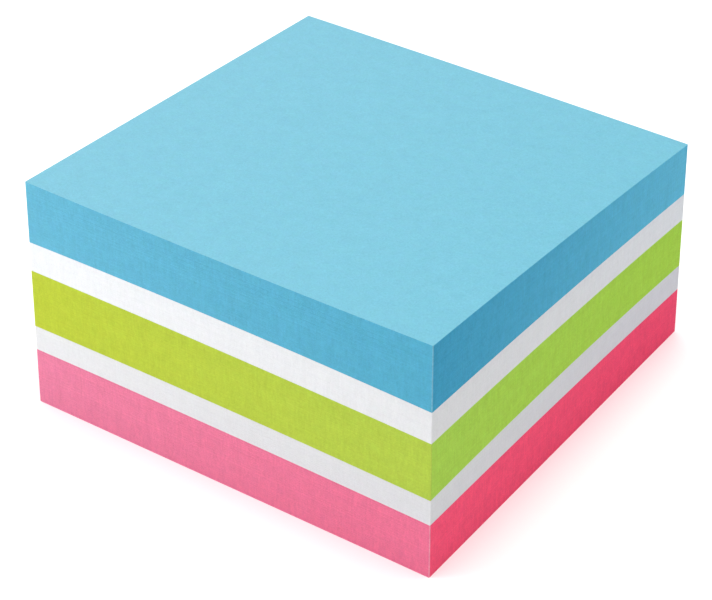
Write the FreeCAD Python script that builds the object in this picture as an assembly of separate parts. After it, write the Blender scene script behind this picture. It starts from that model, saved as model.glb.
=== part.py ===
"""Sticky note cube: 400 square notes in five colour blocks, trimmed flush on all four sides.

Every note carries a strip of low-tack adhesive under one edge, its sticky edge, and all the sticky edges
lie on the same side of the pad. The adhesive adds a little to each note there, so the pad is a wedge,
thicker at the sticky edge than at the free edge. The notes are not quite flat in the pad either: where
two colours meet, the paper is tilted by less than a millimetre and arches up a little between the
trimmed sides. The blade wandered a little in the thick pile, so all four trimmed sides lean in towards
the top by the same slight slope.

Frame: X along the sticky edge, Y from the sticky edge (low Y) to the free edge (high Y), Z up.
The origin is the middle of the flat underside. Millimetres.
"""

import FreeCAD, Part
import os

# One note, as it is halfway up the pad.
note_width = 76.0  # along the sticky edge
note_depth = 76.0  # from the sticky edge to the free edge
paper_thickness = 0.0940
adhesive_thickness = 0.01275  # what the adhesive strip adds under each note, at the sticky edge

# The colour blocks from the bottom up, each with its number of notes and the shape of its top face.
# rise_x: how much higher it lies at the right side than at the left side.
# rise_y: the same from the sticky edge to the free edge, on top of what the notes' thickness gives.
# arch_x: how far it arches above a straight line halfway along the sticky edge and the free edge.
# arch_y: the same halfway along the left side and the right side.
blocks = [
    # name, notes, rise_x, rise_y, arch_x, arch_y
    ("pink_notes", 97, -0.50, -0.05, (0.27, 0.27), (0.40, 0.40)),
    ("lower_white_notes", 47, -0.45, 0.70, (0.35, 0.35), (0.80, 0.80)),
    ("green_notes", 100, -0.70, 0.65, (0.32, 0.32), (0.55, 0.55)),
    ("upper_white_notes", 52, -0.45, 0.70, (0.50, 0.50), (0.50, 0.50)),
    ("blue_notes", 104, 0.10, -0.20, (-0.30, 0.15), (0.00, 0.42)),
]

# How far a trimmed side leans in, as a share of its height.
trim_lean = 0.0125

out_folder = "parts"


def height_at_sticky_edge(notes):
    """Height of a pile of this many notes at the sticky edge."""
    return notes * (paper_thickness + adhesive_thickness)


def height_at_free_edge(notes):
    """Height of the same pile at the free edge, where it is bare paper."""
    return notes * paper_thickness


def middle_height():
    """The height at which a note measures note_width by note_depth."""
    all_notes = sum(block[1] for block in blocks)
    return height_at_sticky_edge(all_notes) / 2


def point_at(side_x, side_y, z):
    """A point at height z: side_x is -1 on the left side, 0 halfway and 1 on the right side, and
    side_y is -1 on the sticky edge's side, 0 halfway and 1 on the free edge's side.
    """
    lean = trim_lean * (middle_height() - z)
    return FreeCAD.Vector(side_x * (note_width / 2 + lean), side_y * (note_depth / 2 + lean), z)


def level_poles(notes, rise_x, rise_y, arch_x, arch_y):
    """The 3 x 3 poles of the surface on top of a pile of notes, as rows along X.

    A quadratic curve passes halfway between its chord and its middle pole, so a middle pole stands
    two arch heights above the chord. Each outer pole lies in its trimmed side, so the edges do too.
    """
    z_sticky = height_at_sticky_edge(notes)
    z_free = height_at_free_edge(notes)
    z_middle = (z_sticky + z_free) / 2
    along_x = [(-1, arch_y[0]), (0, (arch_y[0] + arch_y[1]) / 2), (1, arch_y[1])]
    along_y = [(-1, z_sticky, arch_x[0]), (0, z_middle, (arch_x[0] + arch_x[1]) / 2), (1, z_free, arch_x[1])]
    poles = []
    for side_x, side_arch in along_x:
        row = []
        for side_y, z, edge_arch in along_y:
            z += side_x * rise_x / 2 + side_y * rise_y / 2
            if side_x == 0:
                z += 2 * edge_arch
            if side_y == 0:
                z += 2 * side_arch
            row.append(point_at(side_x, side_y, z))
        poles.append(row)
    return poles


def level_face(poles):
    """The arched face through a 3 x 3 grid of poles."""
    surface = Part.BezierSurface()
    surface.increase(2, 2)
    for row, line in enumerate(poles, start=1):
        for column, pole in enumerate(line, start=1):
            surface.setPole(row, column, pole)
    return surface.toShape()


def rim_curves(poles):
    """The level's four edges, each a quadratic curve, in order round the pad from the sticky edge."""
    sticky = [line[0] for line in poles]
    right = poles[-1]
    free = [line[-1] for line in reversed(poles)]
    left = list(reversed(poles[0]))
    return [sticky, right, free, left]


def curve_edge(poles):
    """One edge of a level. It is a straight line where the middle pole lies on the chord."""
    start, middle, end = poles
    if middle.distanceToLine(start, end - start) < 1e-9:
        return Part.LineSegment(start, end).toShape()
    curve = Part.BezierCurve()
    curve.setPoles(poles)
    return curve.toShape()


def trimmed_side(lower_poles, upper_poles):
    """The flat side of a block that the guillotine cut, between its lower and upper edges."""
    edges = [
        curve_edge(lower_poles),
        Part.LineSegment(lower_poles[-1], upper_poles[-1]).toShape(),
        curve_edge(upper_poles),
        Part.LineSegment(upper_poles[0], lower_poles[0]).toShape(),
    ]
    return Part.Face(Part.Wire(Part.__sortEdges__(edges)))


def underside():
    """The flat face that the pad stands on."""
    corners = [point_at(-1, -1, 0), point_at(1, -1, 0), point_at(1, 1, 0), point_at(-1, 1, 0)]
    return Part.Face(Part.makePolygon(corners + corners[:1]))


def block_solid(lower_face, lower_poles, upper_poles):
    """One colour block, closed by its lower face, its four trimmed sides and its arched top."""
    faces = [lower_face, level_face(upper_poles)]
    for lower_rim, upper_rim in zip(rim_curves(lower_poles), rim_curves(upper_poles)):
        faces.append(trimmed_side(lower_rim, upper_rim))
    shell = Part.Shell(faces)
    shell.sewShape()
    solid = Part.Solid(shell)
    if solid.Volume < 0:
        solid.reverse()
    return solid


def main():
    os.makedirs(out_folder, exist_ok=True)
    notes_below = 0
    lower_poles = level_poles(notes_below, 0.0, 0.0, (0.0, 0.0), (0.0, 0.0))
    lower_face = underside()
    for name, notes, rise_x, rise_y, arch_x, arch_y in blocks:
        notes_to_top = notes_below + notes
        upper_poles = level_poles(notes_to_top, rise_x, rise_y, arch_x, arch_y)
        solid = block_solid(lower_face, lower_poles, upper_poles)
        if not solid.isValid() or not solid.isClosed():
            raise ValueError(f"{name} is not a closed, valid solid")
        solid.exportStep(os.path.join(out_folder, f"{name}.step"))
        print(f"{name}: {notes} notes, {solid.Volume / 1000:.2f} cm3")

        notes_below = notes_to_top
        lower_poles = upper_poles
        lower_face = level_face(upper_poles)
    print(f"{notes_below} notes, {height_at_sticky_edge(notes_below):.2f} mm at the sticky edge,", end=" ")
    print(f"{height_at_free_edge(notes_below):.2f} mm at the free edge")


main()
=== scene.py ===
import math
import random

import bmesh
import bpy
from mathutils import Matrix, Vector, noise
from mathutils.bvhtree import BVHTree


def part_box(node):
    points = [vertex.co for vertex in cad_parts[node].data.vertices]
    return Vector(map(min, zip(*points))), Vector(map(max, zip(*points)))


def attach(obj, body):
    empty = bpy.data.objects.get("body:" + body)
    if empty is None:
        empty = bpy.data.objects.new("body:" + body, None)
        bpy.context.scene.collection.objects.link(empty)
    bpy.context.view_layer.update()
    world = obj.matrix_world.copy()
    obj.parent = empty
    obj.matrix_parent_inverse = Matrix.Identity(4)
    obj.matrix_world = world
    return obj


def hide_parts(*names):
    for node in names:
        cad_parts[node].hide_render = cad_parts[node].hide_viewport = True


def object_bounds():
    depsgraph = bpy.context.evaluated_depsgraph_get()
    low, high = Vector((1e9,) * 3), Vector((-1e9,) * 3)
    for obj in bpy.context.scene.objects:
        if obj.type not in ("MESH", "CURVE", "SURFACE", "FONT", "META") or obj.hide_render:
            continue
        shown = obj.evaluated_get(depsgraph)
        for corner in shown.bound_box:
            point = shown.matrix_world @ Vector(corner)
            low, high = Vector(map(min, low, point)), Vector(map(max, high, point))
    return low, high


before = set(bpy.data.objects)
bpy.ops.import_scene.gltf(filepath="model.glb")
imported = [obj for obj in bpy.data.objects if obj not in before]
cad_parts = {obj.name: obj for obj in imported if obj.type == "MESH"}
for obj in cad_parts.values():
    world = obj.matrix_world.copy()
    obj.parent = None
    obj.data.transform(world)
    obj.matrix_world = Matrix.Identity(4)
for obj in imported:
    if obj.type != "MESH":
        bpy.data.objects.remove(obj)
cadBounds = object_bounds()
print("frame: %d colour blocks from the packed model" % len(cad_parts))

millimetre = 0.001

# The pad, from the frame

padCut = {
    "sideSegments": 20,  # stretches along each trimmed side, enough for its arched bands
    "cornerRadius": 0.09 * millimetre,  # the blade's corner, rubbed a little in handling
    "cornerSegments": 3,
    "edgeShare": 0.72,  # how much of a note's thickness is flat edge; the rest falls into the gaps
    "gapDepth": 0.022 * millimetre,
    "straySheet": 0.012 * millimetre,  # how far one note's edge may stand back from its neighbours
    "strayBundle": 0.016 * millimetre,  # slow waves over many notes and along the side
    "bundleNotes": 26,  # notes in one such wave
    "wavesAlong": 2.2,  # how quickly the waves change over half a side
    "waveStep": 7.3,  # sets the four sides' waves apart
}

# One dictionary for each block, from the bottom up. The notes are counted as in the CAD source.
blocks = [
    {
        "node": "pink_notes",
        "piece": "pinkNotes",
        "notes": 97,
        "colour": "pink",
        "seed": 11,
    },
    {
        "node": "lower_white_notes",
        "piece": "lowerWhiteNotes",
        "notes": 47,
        "colour": "darkerLowerWhite",
        "seed": 23,
    },
    {
        "node": "green_notes",
        "piece": "greenNotes",
        "notes": 100,
        "colour": "green",
        "seed": 37,
    },
    {
        "node": "upper_white_notes",
        "piece": "upperWhiteNotes",
        "notes": 52,
        "colour": "white",
        "seed": 41,
    },
    {
        "node": "blue_notes",
        "piece": "blueNotes",
        "notes": 104,
        "colour": "blue",
        "seed": 59,
    },
]

ringsPerNote = 3  # the gap below a note and the two corners of its flat edge


def topCorner(nodeName, sideX, sideY):
    # the corner of the block's upper face on that side
    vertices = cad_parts[nodeName].data.vertices
    return max((v.co for v in vertices), key=lambda co: sideX * co.x + sideY * co.y + co.z / 2)


def heightOnLevel(level, u, v):
    # u and v run from -1 to 1 across the pad
    left, right = level["left"], level["right"]
    atSticky = (left[0] + right[0] + u * (right[0] - left[0])) / 2
    atFree = (left[1] + right[1] + u * (right[1] - left[1])) / 2
    flat = (atSticky + atFree + v * (atFree - atSticky)) / 2
    archX = level["archX"][0] + level["archX"][1] * v
    archY = level["archY"][0] + level["archY"][1] * u
    return flat + archX * (1 - u * u) + archY * (1 - v * v)


def readLevel(nodeName):
    # The upper face of a block: its height at the sticky and the free edge on each side, and two
    # arches that change evenly across the pad. The corners are vertices, and four probes halfway
    # along the rims give the arches.
    corners = {x: [topCorner(nodeName, x, y) for y in (-1, 1)] for x in (-1, 1)}
    level = {
        "left": [corner.z for corner in corners[-1]],
        "right": [corner.z for corner in corners[1]],
        "archX": (0, 0),
        "archY": (0, 0),
    }
    bm = bmesh.new()
    bm.from_mesh(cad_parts[nodeName].data)
    tree = BVHTree.FromBMesh(bm)
    bm.free()
    near = 0.94  # just inside the rim
    overhead = 1.0
    rises = []
    for u, v in ((0, -near), (0, near), (-near, 0), (near, 0)):
        x, y = u * corners[1][0].x, v * corners[1][1].y
        hit = tree.ray_cast(Vector((x, y, overhead)), Vector((0, 0, -1)))[0]
        rises.append(hit.z - heightOnLevel(level, u, v))
    alongX, alongY = (rises[0] + rises[1]) / 2, (rises[2] + rises[3]) / 2
    fall = 1 - near ** 2
    archX = (alongX - fall * alongY) / (1 - fall ** 2)
    archY = (alongY - fall * alongX) / (1 - fall ** 2)
    level["archX"] = (archX, (rises[1] - rises[0]) / (2 * near))
    level["archY"] = (archY, (rises[3] - rises[2]) / (2 * near))
    return level


def readPad():
    # the foot of the pad and how much its trimmed sides lean in
    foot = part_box(blocks[0]["node"])[1]
    top = topCorner(blocks[-1]["node"], 1, -1)
    return {"footX": foot.x, "footY": foot.y, "lean": (foot.x - top.x) / top.z}


def sheetEdges(block):
    # how far each note's edge stands back on each of the four sides: most of them only a little
    dice = random.Random(block["seed"])
    stray = padCut["straySheet"]
    return [[stray * dice.random() ** 2 for note in range(block["notes"])] for side in range(4)]


def bundleWave(block, side, note, along):
    # 0 to 1, slow along the side and over the notes
    apart = block["seed"] + side * padCut["waveStep"]
    place = Vector((along * padCut["wavesAlong"], note / padCut["bundleNotes"], apart))
    return min(max(0.5 + noise.noise(place), 0), 1)


def makePrism(rings, radius):
    # A square prism from -1 to 1 along X and Y, one unit tall for each ring, with rounded corners.
    bm = bmesh.new()
    segments = padCut["sideSegments"]
    bmesh.ops.create_grid(bm, x_segments=segments, y_segments=segments, size=1)
    nearlyOne = 0.999
    corners = [v for v in bm.verts if min(abs(v.co.x), abs(v.co.y)) > nearlyOne]
    bmesh.ops.bevel(
        bm,
        geom=corners,
        affect="VERTICES",
        offset=radius,
        offset_type="OFFSET",
        segments=padCut["cornerSegments"],
        profile=0.5,
        material=-1,
    )
    lifted = bmesh.ops.extrude_face_region(bm, geom=bm.faces[:])["geom"]
    liftedVerts = [e for e in lifted if isinstance(e, bmesh.types.BMVert)]
    bmesh.ops.translate(bm, verts=liftedVerts, vec=(0, 0, rings))
    upright = [e for e in bm.edges if abs(e.verts[0].co.z - e.verts[1].co.z) > rings / 2]
    bmesh.ops.subdivide_edges(bm, edges=upright, cuts=rings - 1)
    bmesh.ops.recalc_face_normals(bm, faces=bm.faces)
    return bm


def buildBlock(block, pad, lower, upper):
    notes = block["notes"]
    rings = ringsPerNote * notes
    radius = padCut["cornerRadius"] / pad["footX"]
    bm = makePrism(rings, radius)
    tone = bm.faces.layers.float.new("sheetTone")
    dice = random.Random(block["seed"] + 1)
    tones = [dice.random() for note in range(notes)]
    for face in bm.faces:
        cap = abs(face.normal.z) > 0.5
        middle = face.calc_center_median().z
        face.material_index = 0 if cap else 1
        face.smooth = cap
        face[tone] = tones[min(int(middle / ringsPerNote), notes - 1)]
        if cap and middle < 0.5 and lower is None:
            face.material_index = 2
    for edge in bm.edges:
        edge.smooth = len({face.smooth for face in edge.link_faces}) == 1

    edges = sheetEdges(block)
    chamfer = (1 - padCut["edgeShare"]) / 2
    for vert in bm.verts:
        u, v, ring = vert.co.x, vert.co.y, round(vert.co.z)
        note = min(ring // ringsPerNote, notes - 1)
        part = ring - ringsPerNote * note
        share = (note + (0, chamfer, 1 - chamfer, 1)[part]) / notes
        low = 0 if lower is None else heightOnLevel(lower, u, v)
        z = low + (heightOnLevel(upper, u, v) - low) * share
        x = u * (pad["footX"] - pad["lean"] * z)
        y = v * (pad["footY"] - pad["lean"] * z)

        # the rim's verts stand back with their note, and further in the gaps between notes
        outX = max(abs(u) - (1 - radius), 0)
        outY = max(abs(v) - (1 - radius), 0)
        if outX + outY > 0:
            length = math.hypot(outX, outY)
            outX, outY = outX / length, outY / length
            sideX, sideY = (0 if u > 0 else 1), (2 if v > 0 else 3)
            back = outX ** 2 * edges[sideX][note] + outY ** 2 * edges[sideY][note]
            back += outX ** 2 * padCut["strayBundle"] * bundleWave(block, sideX, note, v)
            back += outY ** 2 * padCut["strayBundle"] * bundleWave(block, sideY, note, u)
            padEnd = (lower is None and ring == 0) or (block is blocks[-1] and ring == rings)
            if part in (0, ringsPerNote) and not padEnd:
                back += padCut["gapDepth"]
            x -= math.copysign(outX * back, u)
            y -= math.copysign(outY * back, v)
        vert.co = (x, y, z)

    mesh = bpy.data.meshes.new(block["piece"])
    bm.to_mesh(mesh)
    bm.free()
    piece = bpy.data.objects.new(block["piece"], mesh)
    bpy.context.scene.collection.objects.link(piece)
    return piece


# Node helpers


def setInput(tree, node, label, value):
    # a socket is linked, and anything else is the input's own value
    if isinstance(value, bpy.types.NodeSocket):
        tree.links.new(value, node.inputs[label])
    else:
        node.inputs[label].default_value = value


def addNode(tree, kind, inputs=None, **settings):
    node = tree.nodes.new(kind)
    for name, value in settings.items():
        setattr(node, name, value)
    for label, value in (inputs or {}).items():
        setInput(tree, node, label, value)
    return node


def addMath(tree, operation, *values):
    return addNode(tree, "ShaderNodeMath", dict(enumerate(values)), operation=operation).outputs[0]


def mixColours(tree, share, first, second):
    # sockets 6 and 7 are the node's two colours, and output 2 is the mixed one
    inputs = {0: share, 6: first, 7: second}
    return addNode(tree, "ShaderNodeMix", inputs, data_type="RGBA").outputs[2]


def scaleColour(tree, colour, scale):
    inputs = {0: colour, "Scale": scale}
    return addNode(tree, "ShaderNodeVectorMath", inputs, operation="SCALE").outputs["Vector"]


def addNoise(tree, place, grain):
    inputs = {
        "Vector": place,
        "Scale": grain["scale"],
        "Detail": grain["detail"],
        "Roughness": grain["roughness"],
    }
    return addNode(tree, "ShaderNodeTexNoise", inputs)


def addRamp(tree, value, low, high, outLow=0.0, outHigh=1.0):
    # a smooth step from outLow to outHigh while value goes from low to high
    inputs = {
        "Value": value,
        "From Min": low,
        "From Max": high,
        "To Min": outLow,
        "To Max": outHigh,
    }
    ramp = addNode(tree, "ShaderNodeMapRange", inputs, interpolation_type="SMOOTHSTEP")
    return ramp.outputs["Result"]


def newGroup(name, inputs, outputs):
    # inputs and outputs are names with their socket kinds
    group = bpy.data.node_groups.new(name, "ShaderNodeTree")
    for label, kind in inputs.items():
        group.interface.new_socket(label, in_out="INPUT", socket_type="NodeSocket" + kind)
    for label, kind in outputs.items():
        group.interface.new_socket(label, in_out="OUTPUT", socket_type="NodeSocket" + kind)
    return group, addNode(group, "NodeGroupInput").outputs, addNode(group, "NodeGroupOutput").inputs


# Effects that several papers share. The scales of the noises are per metre.

paperGrain = {
    "cloud": {"scale": 420.0, "detail": 7.0, "roughness": 0.78},
    "dye": {"scale": 650.0, "detail": 4.0, "roughness": 0.7},
    "fibre": {"scale": 3600.0, "detail": 3.0, "roughness": 0.7},
    "bend": {"scale": 900.0, "detail": 2.0, "roughness": 0.5},  # what bends the fibres
    "bendReach": 1.2 * millimetre,
}

bladeMarks = {
    "fine": {"scale": 2600.0, "detail": 3.0, "roughness": 0.65},
    "broad": {"scale": 700.0, "detail": 3.0, "roughness": 0.6},
    "broadShare": 0.3,
    "upright": 0.16,  # the streaks are drawn out by one over this
}

padSides = {
    "stickyBand": (0.08 * millimetre, 0.30 * millimetre),  # where the sticky side's colour ends
    # how ragged the painted highlight along the upright corners is
    "highlightSpread": {"scale": 1400.0, "detail": 2.0, "roughness": 0.5},
}


def makePaperGrain():
    # the cloudy formation of the sheet, its short fibres and the uneven uptake of the dye
    outputs = {"Cloud": "Float", "Fibre": "Float", "Dye": "Color"}
    group, given, result = newGroup("paperGrain", {"Vector": "Vector"}, outputs)
    cloud = addNoise(group, given["Vector"], paperGrain["cloud"])
    dye = addNoise(group, given["Vector"], paperGrain["dye"])
    bend = addNoise(group, given["Vector"], paperGrain["bend"])
    wander = scaleColour(group, bend.outputs["Color"], paperGrain["bendReach"])
    moved = addNode(group, "ShaderNodeVectorMath", {0: given["Vector"], 1: wander}, operation="ADD")
    fibre = addNoise(group, moved.outputs["Vector"], paperGrain["fibre"])
    group.links.new(cloud.outputs["Fac"], result["Cloud"])
    group.links.new(dye.outputs["Color"], result["Dye"])
    group.links.new(fibre.outputs["Fac"], result["Fibre"])
    return group


def makeBladeMarks():
    # streaks that the blade drew down the trimmed sides, across many notes
    group, given, result = newGroup("bladeMarks", {"Vector": "Vector"}, {"Streak": "Float"})
    inputs = {0: given["Vector"], 1: (1.0, 1.0, bladeMarks["upright"])}
    drawn = addNode(group, "ShaderNodeVectorMath", inputs, operation="MULTIPLY").outputs["Vector"]
    fine = addNoise(group, drawn, bladeMarks["fine"]).outputs["Fac"]
    broad = addNoise(group, drawn, bladeMarks["broad"]).outputs["Fac"]
    inputs = {0: bladeMarks["broadShare"], 2: fine, 3: broad}
    group.links.new(addNode(group, "ShaderNodeMix", inputs).outputs[0], result["Streak"])
    return group


def makePadSides():
    # On sides that lean in: where the sticky side is, where the four upright corners are for a
    # painted
    # highlight, and a painted light gradient: painted shade at the front right corner, painted
    # light towards the far ends.
    inputs = {"Vector": "Vector", "Foot": "Float", "Lean": "Float", "Corner Highlight Width": "Float"}
    outputs = {"Sticky": "Float", "Corner": "Float", "Fade": "Float"}
    group, given, result = newGroup("padSides", inputs, outputs)
    place = addNode(group, "ShaderNodeSeparateXYZ", {"Vector": given["Vector"]}).outputs
    leaned = addMath(group, "MULTIPLY", place["Z"], given["Lean"])
    half = addMath(group, "SUBTRACT", given["Foot"], leaned)  # from the middle to a side
    fromSticky = addMath(group, "ADD", half, place["Y"])
    sticky = addRamp(group, fromSticky, *padSides["stickyBand"], 1.0, 0.0)
    fromX = addMath(group, "SUBTRACT", half, addMath(group, "ABSOLUTE", place["X"]))
    fromY = addMath(group, "SUBTRACT", half, addMath(group, "ABSOLUTE", place["Y"]))
    fromCorner = addMath(group, "ADD", fromX, fromY)
    # painted highlight along the upright corners, of a ragged width
    ragged = addNoise(group, given["Vector"], padSides["highlightSpread"])
    spread = addMath(group, "ADD", ragged.outputs["Fac"], 0.5)
    highlightTo = addMath(group, "MULTIPLY", given["Corner Highlight Width"], spread)
    span = addMath(group, "MULTIPLY", half, 2.0)
    acrossX = addMath(group, "DIVIDE", addMath(group, "ADD", half, place["X"]), span)
    acrossY = addMath(group, "DIVIDE", addMath(group, "SUBTRACT", half, place["Y"]), span)
    # painted shade: full at the front right corner, none at the far ends of the sides
    inputs = {0: acrossX, 1: acrossY}
    shaded = addNode(group, "ShaderNodeMath", inputs, operation="MULTIPLY", use_clamp=True)
    group.links.new(addMath(group, "SUBTRACT", 1.0, shaded.outputs[0]), result["Fade"])
    group.links.new(sticky, result["Sticky"])
    group.links.new(addRamp(group, fromCorner, 0.0, highlightTo, 1.0, 0.0), result["Corner"])
    return group


# Papers

# Linear colours: the flat sheet, the trimmed edges where the notes stick and the other trimmed
# edges. The first of each pair is painted shade for the front right corner, and the second is
# painted light for the far ends of the sides; the sticky and free colours also differ by painted
# light and sheen. Mottle scales how uneven the colour is; the number after it sets a painted
# highlight on the upright corners.
papers = {
    "pink": {
        "sheet": (0.73, 0.165, 0.278),
        "mottle": 2.2,
        "cornerHighlight": 0.32,
        "sticky": ((0.802, 0.168, 0.296), (0.705, 0.196, 0.321)),
        "free": ((0.941, 0.089, 0.196), (0.902, 0.069, 0.172)),
    },
    # the lower white block, coloured about a tenth darker than the upper white block
    "darkerLowerWhite": {
        "sheet": (0.678, 0.687, 0.696),
        "mottle": 1.0,
        "cornerHighlight": 0.5,
        "sticky": ((0.686, 0.687, 0.711), (0.692, 0.699, 0.713)),
        "free": ((0.698, 0.701, 0.723), (0.656, 0.655, 0.708)),
    },
    "green": {
        "sheet": (0.435, 0.557, 0.087),
        "mottle": 2.2,
        "cornerHighlight": 0.03,
        "sticky": ((0.441, 0.579, 0.064), (0.445, 0.526, 0.032)),
        "free": ((0.407, 0.647, 0.077), (0.404, 0.666, 0.063)),
    },
    "white": {
        "sheet": (0.748, 0.757, 0.765),
        "mottle": 1.0,
        "cornerHighlight": 0.25,
        "sticky": ((0.753, 0.757, 0.774), (0.757, 0.773, 0.796)),
        "free": ((0.73, 0.733, 0.746), (0.735, 0.757, 0.796)),
    },
    "blue": {
        "sheet": (0.158, 0.415, 0.52),
        "mottle": 2.2,
        "cornerHighlight": 0.2,
        "sticky": ((0.086, 0.405, 0.578), (0.118, 0.419, 0.572)),
        "free": ((0.043, 0.34, 0.541), (0.116, 0.496, 0.698)),
    },
}

paperLook = {
    "roughness": (0.92, 0.78),  # from the open spots of the sheet to the pressed ones
    "pressed": (0.25, 0.75),  # the cloud's values at those spots
    "specular": 0.28,
    "cloudStrength": 0.085,  # each strength is a share of the colour
    "fibreStrength": 0.19,
    "dyeStrength": 0.05,
    "sheetStrength": 0.03,  # from note to note on the trimmed sides
    "streakStrength": 0.16,
    "fibreHeight": 0.006 * millimetre,
    "streakHeight": 0.010 * millimetre,
    "sheetPaintedLight": (0.068, 0.014, 0.012),  # painted light and shade: how much paler the flat sheet is at the left side, and darker at the right
    # the painted highlight along the upright corners: its width and pale colour
    "cornerHighlightWidth": 0.22 * millimetre,
    "highlightColour": (0.93, 0.93, 0.93, 1),
}

adhesiveStrip = {
    "width": 14 * millimetre,
    "roughness": 0.34,
    "tint": 0.07,  # how much darker it makes the paper
    "edge": {"scale": 420.0, "detail": 3.0, "roughness": 0.5},
    "edgeWander": 0.9 * millimetre,
    "edgeWidth": 0.5 * millimetre,
}


def varyColour(tree, colour, dye, mottle, terms):
    # the colour times one plus each value's strength, where a value of a half changes nothing
    scale = 1.0
    for value, strength in terms:
        share = addMath(tree, "MULTIPLY_ADD", value, strength * mottle, -strength * mottle / 2)
        scale = addMath(tree, "ADD", share, scale)
    strength = paperLook["dyeStrength"] * mottle
    spread, shift = [strength] * 3, [1 - strength / 2] * 3
    inputs = {0: dye, 1: spread, 2: shift}
    uptake = addNode(tree, "ShaderNodeVectorMath", inputs, operation="MULTIPLY_ADD")
    inputs = {0: colour, 1: uptake.outputs["Vector"]}
    dyed = addNode(tree, "ShaderNodeVectorMath", inputs, operation="MULTIPLY")
    return scaleColour(tree, dyed.outputs["Vector"], scale)


def newPaper(name):
    # a matt paper with its grain, and the parts of it that the papers below go on from
    material = bpy.data.materials.new(name)
    material.use_nodes = True
    tree = material.node_tree
    shader = tree.nodes["Principled BSDF"].inputs
    shader["Specular IOR Level"].default_value = paperLook["specular"]
    place = addNode(tree, "ShaderNodeTexCoord").outputs["Object"]
    grain = addNode(tree, "ShaderNodeGroup", node_tree=effects["grain"])
    tree.links.new(place, grain.inputs["Vector"])
    rough = addRamp(tree, grain.outputs["Cloud"], *paperLook["pressed"], *paperLook["roughness"])
    tree.links.new(rough, shader["Roughness"])
    return material, tree, shader, place, grain.outputs


def addBump(tree, shader, height, distance):
    inputs = {"Height": height, "Distance": distance, "Strength": 1.0}
    bump = addNode(tree, "ShaderNodeBump", inputs)
    tree.links.new(bump.outputs["Normal"], shader["Normal"])


def makeSheetPaper(name, paper, pad):
    # the flat face of a note, with painted shade at the right side that turns evenly to painted
    # light at the left side
    material, tree, shader, place, grain = newPaper(name)
    x = addNode(tree, "ShaderNodeSeparateXYZ", {"Vector": place}).outputs["X"]
    slope = [-share / pad["footX"] for share in paperLook["sheetPaintedLight"]]
    inputs = {0: x, 1: slope, 2: (1, 1, 1)}
    paintedLight = addNode(tree, "ShaderNodeVectorMath", inputs, operation="MULTIPLY_ADD")
    inputs = {0: paintedLight.outputs["Vector"], 1: paper["sheet"]}
    colour = addNode(tree, "ShaderNodeVectorMath", inputs, operation="MULTIPLY").outputs["Vector"]
    terms = [
        (grain["Cloud"], paperLook["cloudStrength"]),
        (grain["Fibre"], paperLook["fibreStrength"]),
    ]
    varied = varyColour(tree, colour, grain["Dye"], paper["mottle"], terms)
    tree.links.new(varied, shader["Base Color"])
    addBump(tree, shader, grain["Fibre"], paperLook["fibreHeight"])
    return material


def makeUndersidePaper(name, paper, pad):
    # the back of the last note, with its strip of adhesive along the sticky edge
    material = makeSheetPaper(name, paper, pad)
    tree = material.node_tree
    shader = tree.nodes["Principled BSDF"].inputs
    place = addNode(tree, "ShaderNodeTexCoord").outputs["Object"]
    y = addNode(tree, "ShaderNodeSeparateXYZ", {"Vector": place}).outputs["Y"]
    ragged = addNoise(tree, place, adhesiveStrip["edge"]).outputs["Fac"]
    edge = addMath(tree, "MULTIPLY_ADD", ragged, adhesiveStrip["edgeWander"], y)
    stripEnd = adhesiveStrip["width"] - pad["footY"]
    strip = addRamp(tree, edge, stripEnd, stripEnd + adhesiveStrip["edgeWidth"], 1.0, 0.0)
    bareRoughness = shader["Roughness"].links[0].from_socket
    inputs = {0: strip, 2: bareRoughness, 3: adhesiveStrip["roughness"]}
    tree.links.new(addNode(tree, "ShaderNodeMix", inputs).outputs[0], shader["Roughness"])
    bareColour = shader["Base Color"].links[0].from_socket
    damp = addMath(tree, "MULTIPLY_ADD", strip, -adhesiveStrip["tint"], 1.0)
    tree.links.new(scaleColour(tree, bareColour, damp), shader["Base Color"])
    return material


def makeCutPaper(name, paper, pad):
    # the trimmed sides: hundreds of note edges, paler and warmer on the sticky side by painted
    # light and sheen
    material, tree, shader, place, grain = newPaper(name)
    sides = addNode(tree, "ShaderNodeGroup", node_tree=effects["sides"])
    given = {
        "Vector": place,
        "Foot": pad["footX"],
        "Lean": pad["lean"],
        "Corner Highlight Width": paperLook["cornerHighlightWidth"],
    }
    for label, value in given.items():
        setInput(tree, sides, label, value)
    blade = addNode(tree, "ShaderNodeGroup", node_tree=effects["blade"])
    tree.links.new(place, blade.inputs["Vector"])
    tone = addNode(tree, "ShaderNodeAttribute", attribute_name="sheetTone").outputs["Fac"]
    # painted light and shade: 0 at the front right corner, 1 at the far ends of the sides
    paintedLight = sides.outputs["Fade"]
    free = mixColours(tree, paintedLight, *((*colour, 1) for colour in paper["free"]))
    sticky = mixColours(tree, paintedLight, *((*colour, 1) for colour in paper["sticky"]))
    # the sticky side's colour, paler with painted light and sheen, against the free sides' colour
    trimmed = mixColours(tree, sides.outputs["Sticky"], free, sticky)
    # painted highlight: the upright corners mixed towards a pale colour
    pale = addMath(tree, "MULTIPLY", sides.outputs["Corner"], paper["cornerHighlight"])
    highlighted = mixColours(tree, pale, trimmed, paperLook["highlightColour"])
    terms = [
        (grain["Cloud"], paperLook["cloudStrength"]),
        (grain["Fibre"], paperLook["fibreStrength"]),
        (tone, paperLook["sheetStrength"]),
        (blade.outputs["Streak"], paperLook["streakStrength"]),
    ]
    varied = varyColour(tree, highlighted, grain["Dye"], paper["mottle"], terms)
    tree.links.new(varied, shader["Base Color"])
    addBump(tree, shader, blade.outputs["Streak"], paperLook["streakHeight"])
    return material


# The studio

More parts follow.
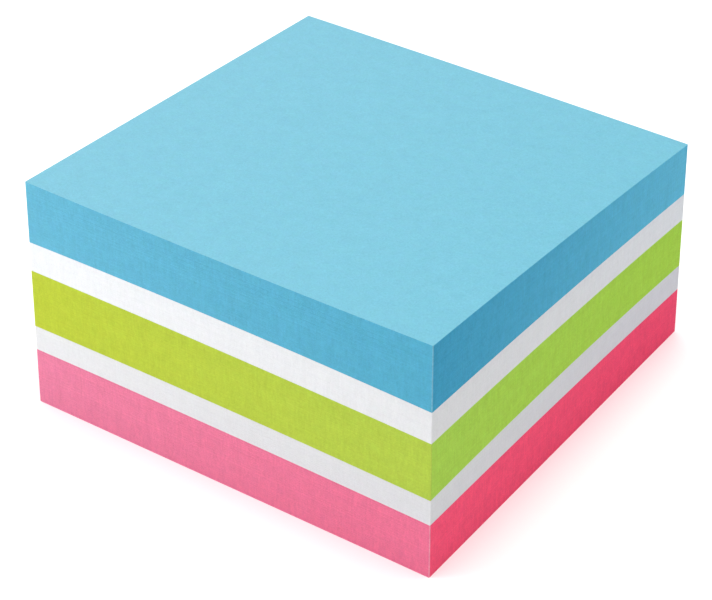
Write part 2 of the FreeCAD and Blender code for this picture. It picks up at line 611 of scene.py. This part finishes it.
studio = {
    "floorSize": 1.4,
    "floorSegments": 8,
    "floorColour": (0.95, 0.95, 0.95, 1),
    "floorRoughness": 0.9,
    "floorSpecular": 0.1,
    "skyColour": (1.0, 1.0, 1.0, 1),
    "skyStrength": 0.34,
    "backdropStrength": 1.1,  # what is seen past the floor, where it lights nothing
}

# Each lamp is a square softbox that looks at the pad: where it stands, its side and its power.
lamps = {
    "overheadLamp": {"place": (0, 0, 1.3), "side": 1.2, "watts": 22.7},
    "leftLamp": {"place": (-0.2075, -0.2075, 0.0624), "side": 0.12, "watts": 0.34},
}

camera = {
    "azimuth": 34.624,  # degrees to the right of a view along +Y
    "elevation": 35.4775,
    "distance": 413.487 * millimetre,
    "aim": (-1.016 * millimetre, -0.748 * millimetre, 13.449 * millimetre),
    "lens": 127.06,
    "sensorWidth": 36,
    "clipStart": 10 * millimetre,
}


def makeFloor():
    bm = bmesh.new()
    segments = studio["floorSegments"]
    bmesh.ops.create_grid(
        bm, x_segments=segments, y_segments=segments, size=studio["floorSize"] / 2
    )
    mesh = bpy.data.meshes.new("studioFloor")
    bm.to_mesh(mesh)
    bm.free()
    floor = bpy.data.objects.new("studioFloor", mesh)
    bpy.context.scene.collection.objects.link(floor)
    material = bpy.data.materials.new("floorPaint")
    material.use_nodes = True
    shader = material.node_tree.nodes["Principled BSDF"].inputs
    shader["Base Color"].default_value = studio["floorColour"]
    shader["Roughness"].default_value = studio["floorRoughness"]
    shader["Specular IOR Level"].default_value = studio["floorSpecular"]
    mesh.materials.append(material)


def makeLamp(name, lamp, target):
    data = bpy.data.lights.new(name, "AREA")
    data.shape = "SQUARE"
    data.size = lamp["side"]
    data.energy = lamp["watts"]
    light = bpy.data.objects.new(name, data)
    light.location = lamp["place"]
    light.rotation_euler = (target - light.location).to_track_quat("-Z", "Y").to_euler()
    light.visible_camera = False
    bpy.context.scene.collection.objects.link(light)


def makeSky():
    world = bpy.data.worlds.new("studioSky")
    world.use_nodes = True
    tree = world.node_tree
    background = tree.nodes["Background"].inputs
    background["Color"].default_value = studio["skyColour"]
    seen = addNode(tree, "ShaderNodeLightPath").outputs["Is Camera Ray"]
    extra = studio["backdropStrength"] - studio["skyStrength"]
    strength = addMath(tree, "MULTIPLY_ADD", seen, extra, studio["skyStrength"])
    tree.links.new(strength, background["Strength"])
    bpy.context.scene.world = world


def makeCamera():
    data = bpy.data.cameras.new("productCamera")
    data.sensor_width = camera["sensorWidth"]
    data.lens = camera["lens"]
    data.clip_start = camera["clipStart"]
    eye = bpy.data.objects.new("productCamera", data)
    azimuth, elevation = math.radians(camera["azimuth"]), math.radians(camera["elevation"])
    level = math.cos(elevation)
    back = Vector((math.sin(azimuth) * level, -math.cos(azimuth) * level, math.sin(elevation)))
    eye.location = Vector(camera["aim"]) + back * camera["distance"]
    eye.rotation_euler = back.to_track_quat("Z", "Y").to_euler()
    bpy.context.scene.collection.objects.link(eye)
    bpy.context.scene.camera = eye


# Putting it together

bpy.context.scene.view_settings.view_transform = "Standard"
makeCamera()
makeSky()
makeFloor()
for name, lamp in lamps.items():
    makeLamp(name, lamp, Vector((0, 0, cadBounds[1].z / 2)))
print("studio: floor, sky, %d lamps and the camera" % len(lamps))

effects = {"grain": makePaperGrain(), "blade": makeBladeMarks(), "sides": makePadSides()}
pad = readPad()
sheetPapers = {name: makeSheetPaper(name + "Sheet", papers[name], pad) for name in papers}
cutPapers = {name: makeCutPaper(name + "Edges", papers[name], pad) for name in papers}
lowest = blocks[0]["colour"]
undersidePaper = makeUndersidePaper(lowest + "Underside", papers[lowest], pad)
print("papers: %d colours, each with a flat face and trimmed edges" % len(papers))

lower = None
for block in blocks:
    upper = readLevel(block["node"])
    piece = buildBlock(block, pad, lower, upper)
    piece.data.materials.append(sheetPapers[block["colour"]])
    piece.data.materials.append(cutPapers[block["colour"]])
    if lower is None:
        piece.data.materials.append(undersidePaper)
    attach(piece, "root")
    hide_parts(block["node"])
    lower = upper
    print("%s: %d notes, %d faces" % (block["piece"], block["notes"], len(piece.data.polygons)))
